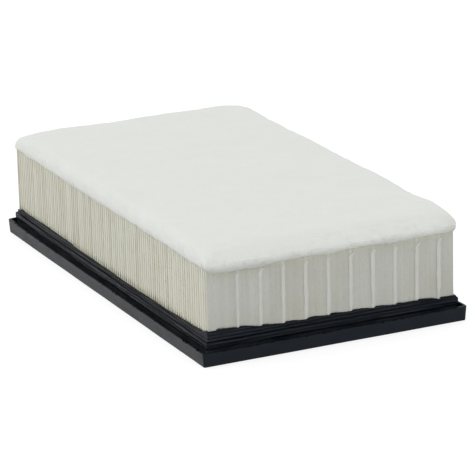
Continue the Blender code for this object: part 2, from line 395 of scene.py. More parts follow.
def end_panel_material():
    """The end panels' paper: glue has soaked in along each bead, with painted shade just before each bead,
    and the top is yellower and painted lighter against the shade under the felt.
    """
    paint, colour, fibre = paper_paint("glued_filter_paper", (0.484, 0.492, 0.458), (0.476, 0.481, 0.432))
    y = paint.axis("Y")
    share = paint.calculate("MULTIPLY_ADD", y, 1 / BEAD_PITCH, 0.5 - BEAD_YS[0] / BEAD_PITCH)
    soak_and_shade = paint.spread(y, BEAD_YS[0] - 0.5 * BEAD_PITCH, BEAD_YS[2])
    # Glue soaked in along each bead makes it lighter; the darker line just before each bead is painted shade.
    colour = paint.shade(colour, paint.calculate("FRACT", share), [
        (0.30, 1.0), (0.42, 0.955), (0.46, 1.03), (0.50, 1.11),
        (0.55, 1.07), (0.66, 1.0), (0.80, 1.0), (0.9, 0.98),
    ], soak_and_shade)
    # Towards the top the paper is yellower and painted lighter, against the shade under the felt.
    height = paint.spread(paint.axis("Z"), pack_high.z - 12 * MM, pack_high.z)
    yellow_and_lift = [(0.40, 1.0), (0.55, (1.01, 1.01, 0.95)), (0.70, (1.12, 1.12, 1.05))]
    return paint.finish(paint.shade(colour, height, yellow_and_lift), [(fibre, 0.10, 0.5)])


def glue_material(name, deep, pale):
    """Hot-melt glue: waxy, ivory and slightly clear."""
    paint = Paint(name, pale, {
        "Roughness": 0.45, "IOR": 1.40, "Subsurface Weight": 0.25,
        "Subsurface Radius": (1.2 * MM, 1.0 * MM, 0.8 * MM), "Subsurface Scale": 1.0,
    })
    colour = paint.ramp(paint.noise((4, 4, 7)), [(0.3, deep), (0.7, pale)])
    return paint.finish(colour, [(paint.noise((1.2, 1.2, 1.8)), 0.15, 0.4)])


def felt_material():
    """White lofted felt: matte, faintly mottled and streaked, with a fine tangle of fibres, and painted shade
    on its hem.
    """
    paint = Paint("white_felt", (0.765, 0.780, 0.750), {
        "Roughness": 1.0, "Specular IOR Level": 0.2, "Sheen Weight": 0.15, "Sheen Roughness": 0.6,
        "Subsurface Weight": 0.25, "Subsurface Radius": (3.0 * MM,) * 3, "Subsurface Scale": 1.0,
    })
    mottle = paint.noise((16, 22, 16), detail=3.0)
    tangle = paint.noise((0.7, 0.7, 0.7), detail=5.0)
    streak = paint.noise((3.5, 0.8, 2.0), detail=3.0)
    tone = paint.ramp(mottle, [(0.3, (0.755, 0.772, 0.735)), (0.7, (0.775, 0.788, 0.760))])
    tone = paint.shade(tone, tangle, [(0.3, 0.96), (0.7, 1.03)])
    # Painted shade: the hem is darker down its rounded edge, most of all at both short ends, with a little
    # painted light just above.
    height = paint.spread(paint.axis("Z"), pack_high.z - 4 * MM, felt_high.z)
    tone = paint.shade(tone, height, [
        (0.0, (0.60, 0.60, 0.575)), (0.13, 0.72), (0.28, 0.90), (0.42, 1.03), (0.75, 1.055), (1.0, 1.0),
    ], paint.to_side("X", HALF_LENGTH, HEM_SHADE_REACH))
    side_hem_shade = [(0.16, 0.82), (0.38, 0.91), (0.68, 0.965), (0.95, 1.0)]
    tone = paint.shade(tone, height, side_hem_shade, paint.to_side("Y", HALF_WIDTH, HEM_SHADE_REACH))
    return paint.finish(tone, [(streak, 0.35, 0.35), (tangle, 0.25, 0.5)])


# --- Seal frame ---

def filleted_profile(corners, steps, spacing):
    """Closed outline through (out, height, radius in mm) corners, rounded, and split into short runs."""
    places, radii = np.split(np.array(corners), [2], axis=1)
    rounded = []
    for index, (here, radius) in enumerate(zip(places, radii[:, 0] * MM)):
        before = places[index - 1] - here
        after = places[(index + 1) % len(places)] - here
        start = here + radius * before / np.linalg.norm(before)
        end = here + radius * after / np.linalg.norm(after)
        for share in np.linspace(0, 1, steps + 1) if radius else [0.0]:
            rounded.append((1 - share) ** 2 * start + 2 * share * (1 - share) * here + share ** 2 * end)
    split = []
    for start, end in zip(rounded, rounded[1:] + rounded[:1]):
        parts = max(1, round(np.linalg.norm(end - start) / spacing))
        split += [start + (end - start) * part / parts for part in range(parts)]
    return np.array(split)


def frame_profile():
    """The moulding's section: lip, groove, swollen collar, thin skirt, and the ledge under the pack."""
    lip_inner = PACK_INSET - LIP_THICKNESS
    crevice = COLLAR_HEIGHT - 0.9 * MM
    corners = [
        (PACK_INSET, 0.0, 0.35),
        (PACK_INSET, LIP_HEIGHT, 0.3),
        (lip_inner, LIP_HEIGHT, 0.3),
        (lip_inner, GROOVE_FLOOR, 0.7),
        (WAIST_OUTER, GROOVE_FLOOR, 0.7),
        (WAIST_OUTER, WAIST_HEIGHT, 1.2),
        (COLLAR_OUTER, SWELL_HEIGHT, 1.0),
        (COLLAR_OUTER, COLLAR_HEIGHT, 0.9),
        (SKIRT_OUTER + 0.35 * MM, COLLAR_HEIGHT, 0.1),
        (SKIRT_OUTER + 0.08 * MM, crevice, 0.05),
        (SKIRT_OUTER, COLLAR_HEIGHT, 0.0),
        (SKIRT_OUTER, SKIRT_TOP, 0.25),
        (0.0, SKIRT_TOP, 0.0),
        (0.0, SHELF_TOP, 0.0),
        (-SHELF_REACH, SHELF_TOP, 0.6),
        (-SHELF_REACH, 0.0, 0.8),
    ]
    return filleted_profile(corners, steps=4, spacing=0.6 * MM)


SIDE_NORMALS = [(1, 0), (0, 1), (-1, 0), (0, -1)]
CORNER_STEPS = 8


def plan_stations(short_count, long_count):
    """Places round the plan: (side or corner direction, share along the side, corner angle)."""
    stations = []
    for index, normal in enumerate(SIDE_NORMALS):
        count = short_count if normal[0] else long_count
        shares = np.linspace(-1, 1, count, endpoint=False) + 1 / count
        stations += [(normal, share, None) for share in shares]
        following = SIDE_NORMALS[(index + 1) % 4]
        corner = (normal[0] + following[0], normal[1] + following[1])
        for step in range(CORNER_STEPS + 1):
            stations.append((corner, None, math.pi / 2 * (index + step / CORNER_STEPS)))
    return stations


def plan_points(stations, out, radius):
    """X and Y of every station (rows), where each column lies `out` from the pack's outline."""
    arc_x = HALF_LENGTH + out - radius
    arc_y = HALF_WIDTH + out - radius
    points = np.empty((*out.shape, 2))
    for row, (normal, share, angle) in enumerate(stations):
        if angle is not None:
            x = normal[0] * arc_x[row] + radius[row] * math.cos(angle)
            y = normal[1] * arc_y[row] + radius[row] * math.sin(angle)
        elif normal[0]:
            x, y = normal[0] * (HALF_LENGTH + out[row]), normal[0] * share * arc_y[row]
        else:
            x, y = -normal[1] * share * arc_x[row], normal[1] * (HALF_WIDTH + out[row])
        points[row] = join(x, y)
    return points


def station_normals(stations):
    """The outward direction in plan at every station."""
    return np.array([
        normal if angle is None else (math.cos(angle), math.sin(angle))
        for normal, _, angle in stations
    ], float)


def side_masks(stations):
    """Columns that are true at the stations on the short sides, and at those on the long sides."""
    return [
        np.array([angle is None and normal[axis] != 0 for normal, _, angle in stations])[:, None]
        for axis in (0, 1)
    ]


def pair_offset(x):
    """Distance from the middle of the nearest pleat, along X."""
    share = (x / PLEAT_PITCH + 0.5) % 1.0 - 0.5
    return np.abs(share) * PLEAT_PITCH


def rib_sawtooth(y):
    """0 just before each glue bead, 1 just after it, falling slowly to the next one."""
    share = ((y - BEAD_YS[0]) / BEAD_PITCH) % 1.0
    return smooth_step(share, 0.0, 0.10) * (1.0 - smooth_step(share, 0.12, 1.0))


def end_relief(y):
    """How far an end panel stands out at y: tented over the beads, drawn in between them."""
    return TENT_RISE * sum(bell(y - bead_y, TENT_REACH) for bead_y in BEAD_YS) - PANEL_DRAW


# Height of the moulding's edge against the skirt's nominal top, along Y and along X.
EDGE_PLACES = np.array([-80, -70, -60, -52, -40, -25, -12, 0, 17, 36, 48, 57, 64, 68, 73, 80]) * MM
EDGE_RISES = np.array([
    2.9, 3.0, 2.3, 1.4, 0.5, 0.15, 0.35, 0.3, 0.2, -0.35, -0.75, -0.6, -0.7, -1.0, -2.0, -1.7,
]) * MM
LONG_PLACES = np.array([-139, -102, -84, -65, -47, 8, 27, 45, 64, 90, 110, 129, 138]) * MM
LONG_RISES = np.array([-0.1, 0.5, 0.2, 0.1, -0.6, -0.7, -1.2, -1.0, -0.6, -0.6, 0.3, 0.7, 1.2]) * MM


def edge_rise(x, y, on_short, on_long, lumps, fine):
    """How far the skirt's top edge stands above its nominal height, all round."""
    gap = smooth_step(pair_offset(x), 1.05 * MM, 1.3 * MM) * on_long
    long_height = np.interp(-x[:, :1] * np.sign(y[:, :1]), LONG_PLACES, LONG_RISES)
    long_rise = long_height - 0.5 * MM * gap + 0.10 * MM * lumps + 0.08 * MM * fine
    end_height = np.interp(y[:, :1] * np.sign(x[:, :1]), EDGE_PLACES, EDGE_RISES)
    steps = 0.75 * MM * (rib_sawtooth(y) - 0.5)
    short_rise = end_height + steps + 0.12 * MM * lumps + 0.10 * MM * fine
    corner_rise = np.where(x * y > 0, EDGE_RISES[-1], EDGE_RISES[0])
    rise = np.where(on_long, long_rise, np.where(on_short, short_rise, corner_rise))
    near_corner = smooth_step(np.abs(x), HALF_LENGTH - 7 * MM, HALF_LENGTH) * on_long
    return rise * (1 - near_corner) + corner_rise * near_corner


def lip_nicks(plan):
    """Strength, from 0 to 2, of the small bites out of the lip's ragged top at every station."""
    rng = np.random.default_rng(11)
    along = np.cumsum(np.linalg.norm(np.diff(plan[:, 0], axis=0, prepend=plan[-1:, 0]), axis=1))
    nicks = np.zeros(len(plan))
    for centre in rng.uniform(0, along[-1], SHALLOW_NICKS):
        width = rng.uniform(0.5, 2.0) * MM
        nicks += rng.uniform(0.15, 0.6) * np.exp(-((along - centre) / width) ** 4)
    for centre in rng.uniform(0, along[-1], DEEP_NICKS):
        nicks += rng.uniform(1.0, 1.9) * np.exp(-((along - centre) / DEEP_NICK_REACH) ** 4)
    return np.clip(nicks, 0, 2.0)[:, None]


def build_seal_frame(material):
    """The whole moulding as one skin, with its ridges, waves and climbing edge."""
    profile = frame_profile()
    stations = plan_stations(short_count=270, long_count=6 * PLEAT_COUNT)
    out = np.broadcast_to(profile[:, 0], (len(stations), len(profile))).copy()
    height = np.broadcast_to(profile[:, 1], out.shape).copy()
    tight = 0.02 * MM
    corners = [WINDOW_RADIUS, tight, tight, CORNER_RADIUS]
    radius = np.interp(out, [-SHELF_REACH, -4 * MM, 0.0, PACK_INSET], corners)
    plan = plan_points(stations, out, radius)
    x, y = plan[..., 0], plan[..., 1]
    on_short, on_long = side_masks(stations)

    lumps = ripple(plan, 7 * MM, seed=3)
    fine = ripple(plan, 1.9 * MM, seed=4)
    wall = (out > -0.05 * MM) & (out < SKIRT_OUTER + 0.01 * MM)
    skirt = np.clip((height - COLLAR_HEIGHT) / (SKIRT_TOP - COLLAR_HEIGHT), 0, 1) * wall
    height += skirt * edge_rise(x, y, on_short, on_long, lumps, fine)

    # Ridges run along the skirt. The long sides' are half as deep, with flutes between the pleats.
    ridges = np.sin(height * 2 * math.pi / RIDGE_PITCH) * RIDGE_DEPTH
    flutes = FLUTE_DEPTH * np.cos(x * 2 * math.pi / PLEAT_PITCH)
    outer_skirt = skirt * (out > SKIRT_OUTER / 2)
    outward = outer_skirt * on_short * (ridges + end_relief(y) * 0.6)
    outward += outer_skirt * on_long * (0.5 * ridges - flutes)
    collar = (out > WAIST_OUTER - 0.1 * MM) & (height > WAIST_HEIGHT) & (out < COLLAR_OUTER + 0.1 * MM)
    outward += collar * (waves(plan, 0.12, 26, seed=5) + 0.05 * MM * lumps)
    lip = out > PACK_INSET - LIP_THICKNESS - 0.1 * MM
    outward += lip * waves(plan, 0.06, 60, seed=7)

    # The lip and collar curl up a little at the far left and far right corners.
    curl = bell(np.linalg.norm(np.abs(plan) - PACK_SIDES, axis=-1), CURL_REACH) * (x * y > 0)
    height += curl * LIP_CURL * np.clip(height / LIP_HEIGHT, 0, 1.4) * (out > SKIRT_OUTER + 0.05 * MM)
    height += curl * SKIRT_CURL * skirt * (x < 0)
    outward += lip * (height / LIP_HEIGHT - 0.5) * LIP_LEAN

    # The far right corner's edge ends in a small round lump.
    lump = bell(np.linalg.norm(plan - PACK_SIDES, axis=-1), LUMP_REACH)
    outward += lump * outer_skirt * LUMP_DEPTH

    bitten = lip * smooth_step(height, LIP_HEIGHT - 0.5 * MM, LIP_HEIGHT - 0.1 * MM) * lip_nicks(plan)
    height -= bitten * NICK_DEPTH
    outward -= bitten * NICK_INSET

    moved = plan + station_normals(stations)[:, None, :] * outward[..., None]
    waving = (height > 0.5 * MM) & (height < COLLAR_HEIGHT + MM)
    height += waving * waves(plan, 0.06, 25, seed=6)
    vertices = np.concatenate([moved, height[..., None]], axis=-1)
    faces = grid_faces(len(stations), len(profile), wrap_rows=True, wrap_columns=True)
    piece = make_piece("moulded_seal_frame", vertices, faces, material, 60)
    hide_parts("seal_frame")


# --- Pleated paper ---

PANEL_HEIGHTS = np.array([0.985, 0.93, 0.8, 0.6, 0.4, 0.28, 0.235, 0.205, 0.18, 0.12, 0.04])
FOLD_TURNS = np.radians([22, 45, 68, 90])
VALLEY_TURNS = np.radians([-72, -36, 0, 36, 72])
END_STATIONS = np.array([0.0, 0.25, 0.8, 1.8, 3.2, 5.0, 7.5, 12.0]) * MM
MIDDLE_STATIONS = 15


def pinched_half(z):
    """Half the width of a pleat's glued end: narrower just above the frame, where glue is short."""
    grip = smooth_step(z, SKIRT_TOP + 0.6 * MM, SKIRT_TOP + 3.6 * MM)
    return LOOSE_HALF + (PINCHED_HALF - LOOSE_HALF) * grip


def pleat_stations():
    """Y of the rows across the paper, closest together at its two cut edges."""
    near = -HALF_WIDTH + END_STATIONS
    middle = np.linspace(near[-1], -near[-1], MIDDLE_STATIONS)[1:-1]
    return np.concatenate([near, middle, -near[::-1]])


def pleat_jitter(seed, spread, ys):
    """A small random offset for every pleat, different at its two ends and smooth between."""
    left, right = np.random.default_rng(seed).normal(0, spread, (2, PLEAT_COUNT))
    share = ((ys + HALF_WIDTH) / (2 * HALF_WIDTH))[:, None]
    return left * (1 - share) + right * share


def pleat_x(index):
    """X of a pleat's middle."""
    return (index - (PLEAT_COUNT - 1) / 2) * PLEAT_PITCH


def paper_sheet(x, y, z, axis, side=1):
    """Vertices and faces of paper round a middle surface that bends along one axis of its grid."""
    step_x, step_z = np.gradient(x, axis=axis), np.gradient(z, axis=axis)
    length = np.hypot(step_x, step_z)
    return thin_sheet(*(
        join(side * (x - face * step_z / length * PAPER / 2), y, z + face * step_x / length * PAPER / 2)
        for face in (1, -1)
    ))


def build_folded_paper(material):
    """The zigzag between the two end panels, as one thin sheet with real thickness."""
    ys = pleat_stations()
    panel_top = pack_high.z - PAPER / 2 - FOLD_RADIUS
    panel_bottom = pack_low.z + PAPER / 2 + VALLEY_RADIUS
    open_foot = PLEAT_PITCH / 2 - VALLEY_RADIUS
    pinch = 1 - smooth_step(HALF_WIDTH - np.abs(ys), 0.0, PINCH_LENGTH)
    middles = pleat_x(np.arange(PLEAT_COUNT)) + pleat_jitter(21, 0.05 * MM, ys)
    lift = pleat_jitter(22, 0.10 * MM, ys)
    lift += 0.5 * MM * (pinch * (ys < 0))[:, None] * np.linspace(-0.4, 1.0, PLEAT_COUNT)
    squeeze = pleat_jitter(23, 0.03 * MM, ys)
    columns = []

    def add(x, z):
        columns.append(np.broadcast_arrays(x, z, ys)[:2])

    def panel(index, side, heights):
        for share in heights:
            z = panel_bottom + share * (panel_top - panel_bottom)
            free = FOLD_RADIUS + (open_foot - FOLD_RADIUS) * (1 - share)
            foot = (open_foot - LOOSE_HALF) * (1 - smooth_step(share, 0.0, 0.14))
            glued = pinched_half(z) + squeeze[:, index] + foot
            half = free * (1 - pinch) + glued * pinch
            where = join(middles[:, index].mean(), ys, z)
            buckle = waves(where, 0.10, 21, seed=31 + side) * share * (1 - share) * 4
            add(middles[:, index] + side * half + buckle * (1 - 0.85 * pinch), z + lift[:, index] * share)

    def fold(index, side, turns):
        reach = FOLD_RADIUS + (PINCHED_HALF - FOLD_RADIUS) * pinch
        top = panel_top + lift[:, index]
        for turn in turns:
            add(middles[:, index] + side * reach * math.sin(turn), top + FOLD_RADIUS * math.cos(turn))

    def valley(index):
        centre = (middles[:, index] + middles[:, index + 1]) / 2
        for turn in VALLEY_TURNS:
            add(centre + VALLEY_RADIUS * math.sin(turn), panel_bottom - VALLEY_RADIUS * math.cos(turn))

    for index in range(PLEAT_COUNT):
        if index > 0:
            panel(index, -1, PANEL_HEIGHTS[::-1])
            fold(index, -1, FOLD_TURNS[::-1])
        fold(index, 1, [0.0])
        if index < PLEAT_COUNT - 1:
            fold(index, 1, FOLD_TURNS)
            panel(index, 1, PANEL_HEIGHTS)
            valley(index)

    x, z = np.array(columns).transpose(1, 2, 0)
    cut = np.sign(ys) * pinch * (HALF_WIDTH - np.abs(ys) < 0.3 * MM)
    y = ys[:, None] + cut[:, None] * pleat_edge_jitter(x)
    vertices, faces = paper_sheet(x, y, z, axis=1)
    piece = make_piece("folded_filter_paper", vertices, faces, material, 40)
    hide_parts("pleated_media")


def pleat_edge_jitter(x):
    """How far each pleat's cut edge stands in or out of line."""
    offsets = np.random.default_rng(24).normal(0, 0.07 * MM, PLEAT_COUNT)
    index = np.round(x / PLEAT_PITCH + (PLEAT_COUNT - 1) / 2).astype(int)
    return offsets[np.clip(index, 0, PLEAT_COUNT - 1)]


def relief_held(z, top):
    """Share of the end panels' relief at a height: none at the foot, and less towards the top."""
    foot = smooth_step(z, SKIRT_TOP - 2 * MM, SKIRT_TOP + 6 * MM)
    return foot * (1 - 0.7 * smooth_step(z, top - 5 * MM, top))


def build_end_panel(name, side, material):
    """The outer panel of the first or last pleat, tented over the beads, up to its top fold."""
    ys = np.linspace(-HALF_WIDTH, HALF_WIDTH, 319)
    face_x = HALF_LENGTH - PAPER / 2
    centre_x = pleat_x(PLEAT_COUNT - 1)
    bend = face_x - centre_x
    top = pack_high.z - PAPER / 2 - bend
    rows = []
    for z in np.linspace(pack_low.z + PAPER / 2, top, 30):
        swell = end_relief(ys) + waves(join(ys, z), 0.06, 24, seed=41 + side)
        rows.append((face_x + swell * relief_held(z, top), z))
    for turn in np.radians([18, 36, 54, 72, 90]):
        rows.append((centre_x + bend * math.cos(turn), top + bend * math.sin(turn)))
    x, z = np.array([np.broadcast_arrays(*row, ys)[:2] for row in rows]).transpose(1, 0, 2)
    vertices, faces = paper_sheet(x, ys, z, axis=0, side=side)
    make_piece(name, vertices, faces, material, 40)


# --- Glue ---

END_GLUE_REACH = 3.4 * MM  # how far in between the panels the glue at the ends goes
HOOK_END = pack_high.z - 5.5 * MM  # where the beads on an end panel curl aside and thin out
BEAD_BEND = 1.2 * MM  # radius of the beads' turn on to the upper folds
BEAD_ARC = np.radians([0, 22, 45, 67, 90, 113, 135, 158, 180])
DIRTY_BEAD = (1.20 * MM, 0.36 * MM)  # half width and rise
CLEAN_BEAD = (0.60 * MM, 0.62 * MM)


def build_end_glue(name, node, side, material):
    """Glue between the panels of every pleat at one long edge, with the strip under them."""
    rng = np.random.default_rng(51 + side)
    levels = np.concatenate([
        np.linspace(pack_low.z + MM, SKIRT_TOP, 4),
        SKIRT_TOP + np.array([0.8, 1.6, 2.4, 3.2, 4.0]) * MM,
        np.linspace(SKIRT_TOP + 7 * MM, pack_high.z - 0.75 * MM, 10),
    ])
    inner = side * (HALF_WIDTH - END_GLUE_REACH)
    vertices, faces = [], []
    for index in range(PLEAT_COUNT):
        recess = 0.10 * MM + np.abs(rng.normal(0, 0.06 * MM, len(levels)))
        first = len(vertices)
        for z, depth in zip(levels, recess):
            half = pinched_half(z) - PAPER / 2 + 0.06 * MM
            outer = side * (HALF_WIDTH - depth)
            left = max(pleat_x(index) - half, PAPER - HALF_LENGTH)
            right = min(pleat_x(index) + half, HALF_LENGTH - PAPER)
            vertices += [(left, outer, z), (right, outer, z), (right, inner, z), (left, inner, z)]
        faces += grid_faces(len(levels), 4, first, wrap_columns=True).tolist()
        last = len(vertices) - 4
        faces += [list(range(first, first + 4)), list(range(last, last + 4))]
    piece = make_piece(name, vertices, faces, material, 40)
    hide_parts(node)


def swept_bead(name, node, centres, outwards, widths, rises, material):
    """A half-round bead swept along a line that runs across Y, replacing one CAD bead."""
    across = np.array([0.0, 1.0, 0.0])
    rows = [
        centres - across * (widths * math.cos(turn))[:, None] + outwards * (rises * math.sin(turn))[:, None]
        for turn in BEAD_ARC
    ]
    count = len(BEAD_ARC)
    last = (len(centres) - 1) * count
    faces = grid_faces(len(centres), count, wrap_columns=True).tolist()
    faces += [list(range(count)), list(range(last, last + count))]
    piece = make_piece(name, np.stack(rows, axis=1), faces, material, 60)
    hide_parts(node)


def build_top_bead(number, node, y_bead, material):
    """Up one end panel, curling aside at the fold, over the folds and down the other panel."""
    rng = np.random.default_rng(140 + number)
    crest = pack_high.z + 0.05 * MM
    edge = HALF_LENGTH
    half = [((edge, z), (1.0, 0.0)) for z in np.linspace(SKIRT_TOP - 3.5 * MM, crest - BEAD_BEND, 44)]
    for turn in np.radians([15, 30, 45, 60, 75]):
        out, up = math.cos(turn), math.sin(turn)
        half.append(((edge - BEAD_BEND + BEAD_BEND * out, crest - BEAD_BEND + BEAD_BEND * up), (out, up)))
    run = [((x, crest), (0.0, 1.0)) for x in np.linspace(edge - 1.4 * MM, -edge + 1.4 * MM, 110)]
    mirrored = [((-x, z), (-out, up)) for (x, z), (out, up) in half[::-1]]
    places, normals = np.array(half + run + mirrored).transpose(1, 0, 2)
    x, z = places.T

    hook_end = HOOK_END + rng.uniform(-0.4, 0.5) * MM
    hook = smooth_step(z, hook_end - 3.0 * MM, hook_end) ** 2 * rng.uniform(0.8, 1.9) * MM
    hook *= smooth_step(np.abs(x), edge - 9 * MM, edge - 2 * MM)
    along = join(x + number, z)
    y = y_bead + waves(along, 0.08, 19, seed=60 + number) + hook
    side = np.sign(x) * (np.abs(x) > edge - 0.5 * MM)
    relief = end_relief(y_bead) * relief_held(z, pack_high.z - MM)
    centres = join(x + side * (relief - 0.05 * MM), y, z)
    outwards = join(normals[:, 0], 0.0, normals[:, 1])
    swell = 1 + 0.16 * ripple(along, 8 * MM, seed=80 + number)
    pressed = smooth_step(z, hook_end - 0.7 * MM, hook_end) * (np.abs(x) > edge - 2 * MM)
    # The first few beads, next to the left side, are thinner.
    strength = rng.uniform(0.85, 1.1) * min(1.0, 0.3 * number - 0.1)
    widths = DIRTY_BEAD[0] * swell * math.sqrt(strength) * (1 - 0.82 * pressed)
    rises = DIRTY_BEAD[1] * swell * strength * (1 - 0.97 * pressed)
    swept_bead(f"dirty_side_bead_{number:02d}", node, centres, outwards, widths, rises, material)


def build_bottom_bead(number, node, y_bead, material):
    """Across the lower folds on the clean side, sinking a little into each pleat's mouth."""
    xs = np.linspace(-HALF_LENGTH + MM, HALF_LENGTH - MM, 4 * PLEAT_COUNT + 1)
    mouth = 1 - smooth_step(pair_offset(xs), 0.1 * MM, 1.2 * MM)
    along = join(xs, y_bead)
    y = y_bead + waves(along, 0.15, 22, seed=100 + number)
    centres = join(xs, y, pack_low.z + 0.10 * MM + 0.35 * MM * mouth)
    outwards = np.broadcast_to((0.0, 0.0, -1.0), centres.shape)
    swell = 1 + 0.14 * ripple(along, 6 * MM, seed=120 + number)
    widths, rises = (size * swell for size in CLEAN_BEAD)
    swept_bead(f"clean_side_bead_{number:02d}", node, centres, outwards, widths, rises, material)


# --- Felt pre-filter ---

FELT_SWELL = 0.5 * MM
FELT_ROUNDNESS = 0.9  # power of the edge's sine and cosine: 1 is an ellipse, less is boxier
FELT_CORNER = 2.6 * MM  # the corners' radius seen from above, at the pack's outline
FELT_INNER_CORNER = 15 * MM  # the same where the rounded edge meets the flat top
RIM_INNER = 0.75 * MM  # how far outside the pack the drooping rim's inner face hangs
CORNER_DROOPS = np.array([[1.3, 2.0], [1.0, 2.1]]) * MM  # where X is minus or plus, then Y
CLOTH_PRESSURE = 4.0
CLOTH_FRAMES = 20

# For each side, front first and then as SIDE_NORMALS goes: overhang past the pack, reach of the rounded
# top edge, and heights above the pack's top of the widest line and the rim's bottom, in millimetres.
FELT_SIDES = [(1.5, 9.0, 1.6, -3.1), (2.2, 4.5, 3.4, -0.3), (1.6, 4.5, 3.4, -0.5), (0.5, 6.5, 2.0, -1.4)]

# The left side's rim wanders too: rises at places along X.
LEFT_RIM_PLACES = np.array([-120, -98, -52, -5, 41, 88, 126]) * MM
LEFT_RIM_RISES = np.array([0.7, 0.6, -0.1, -0.2, 0.4, 0.0, -0.4]) * MM


def circular_mean(values, reach):
    """Running mean of a closed row of numbers over `reach` neighbours on each side."""
    return np.mean([np.roll(values, step) for step in range(-reach, reach + 1)], axis=0)


def felt_edges(stations):
    """Overhang, rounding, widest height and rim height at every station, eased past the corners."""
    rows = []
    for normal, _, angle in stations:
        turn = SIDE_NORMALS.index(normal) if angle is None else angle / (math.pi / 2) % 4
        share = turn % 1
        start, end = FELT_SIDES[int(turn)], FELT_SIDES[(int(turn) + 1) % 4]
        rows.append([a * (1 - share) + b * share for a, b in zip(start, end)])
    return [circular_mean(row, reach) for row, reach in zip(np.array(rows).T * MM, (1, 5, 3, 1))]


def felt_blank():
    """The pad lofted round its outline, with its top a little low so that it can swell."""
    stations = plan_stations(short_count=54, long_count=96)
    overhang, rounding, widest, rim = felt_edges(stations)
    on_outline = np.zeros((len(stations), 1))
    places = plan_points(stations, on_outline, on_outline)[:, 0]
    x, y = places.T
    on_left = np.array([station[0] == (0, -1) for station in stations])
    rim += on_left * np.interp(x, LEFT_RIM_PLACES, LEFT_RIM_RISES)
    wander = waves(places, 0.45, 24, seed=75) + waves(places, 0.25, 9, seed=76)
    rim += wander * np.where(on_left, 0.6, 1.0)
    rim -= 1.5 * MM * bell(y + 64 * MM, 13 * MM) * (x > HALF_LENGTH - MM)
    under = pack_high.z + 0.1 * MM
    top = felt_high.z - 0.35 * MM
    widest += pack_high.z
    rim += pack_high.z
    lift = np.clip(rim - under, 0.0, None)
    lifted = np.clip(lift / MM, 0, 1)
    columns = []

    def add(out, z):
        columns.append(np.broadcast_arrays(out, z, rim)[:2])

    for out in -HALF_WIDTH + (HALF_WIDTH - 3 * MM) * np.linspace(0, 1, 16):
        add(out, under)
    root = under + 0.6 * lift
    inner = np.minimum(RIM_INNER, overhang - 0.3 * MM)
    add(inner - 0.8 * MM * lifted, root)
    add(inner + 0.05 * MM, np.minimum(root - 0.02 * MM, rim + 0.25 * MM))
    add((inner + overhang) / 2, rim)
    for share in (0.12, 0.4, 0.7):
        add(overhang - (1 - share) ** 3 * 0.35 * MM, rim + share * (widest - rim))
    for turn in np.radians(np.linspace(0, 90, 11)):
        z = widest + (top - widest) * math.sin(turn) ** FELT_ROUNDNESS
        add(overhang - rounding * (1 - math.cos(turn) ** FELT_ROUNDNESS), z)
    for share in np.linspace(0, 1, 24)[1:]:
        add((overhang - rounding) * (1 - share) - HALF_WIDTH * share, top)
    out, z = np.array(columns).transpose(1, 2, 0)
    corners = [0.0, FELT_INNER_CORNER, FELT_INNER_CORNER, FELT_CORNER]
    radius = np.interp(out, [-HALF_WIDTH, -HALF_WIDTH + 24 * MM, -13 * MM, 0.0], corners)
    vertices = np.concatenate([plan_points(stations, out, radius), z[..., None]], axis=-1)
    faces = grid_faces(len(stations), out.shape[1], wrap_rows=True)
    return add_object("felt_prefilter_pad", new_mesh("felt_prefilter_pad", vertices, faces, merge=0.05 * MM))


def apply_modifiers(piece):
    """Keep the evaluated shape and drop the modifiers."""
    graph = bpy.context.evaluated_depsgraph_get()
    final = bpy.data.meshes.new_from_object(piece.evaluated_get(graph))
    piece.modifiers.clear()
    old, piece.data = piece.data, final
    bpy.data.meshes.remove(old)


def read_array(items, name, width=3):
    """One property of all of a mesh's vertices or faces, as rows of an array."""
    values = np.empty(len(items) * width, np.float32)
    items.foreach_get(name, values)
    return values.reshape(-1, width).astype(float)


def set_vertices(piece, places):
    """Write an array of places back to the mesh."""
    piece.data.vertices.foreach_set("co", places.astype(np.float32).ravel())
    piece.data.update()


def swell_felt(pad):
    """Cloth under light pressure, held at its underside and rim, rounds the blank as loft does."""
    before = read_array(pad.data.vertices, "co")
    held = pad.vertex_groups.new(name="held")
    low = np.nonzero(before[:, 2] < felt_low.z + MM)[0]
    held.add(low.tolist(), 1.0, "REPLACE")
    cloth = pad.modifiers.new("loft", "CLOTH").settings
    cloth.use_pressure = True
    cloth.uniform_pressure_force = CLOTH_PRESSURE
    cloth.effector_weights.gravity = 0.0
    cloth.vertex_group_mass = "held"
    cloth.quality = 5
    scene = bpy.context.scene
    for number in range(1, CLOTH_FRAMES + 1):
        scene.frame_set(number)
    apply_modifiers(pad)
    scene.frame_set(1)
    move = read_array(pad.data.vertices, "co") - before
    length = np.linalg.norm(move, axis=1, keepdims=True)
    set_vertices(pad, before + move * np.minimum(1.0, FELT_SWELL / np.maximum(length, 1e-9)))


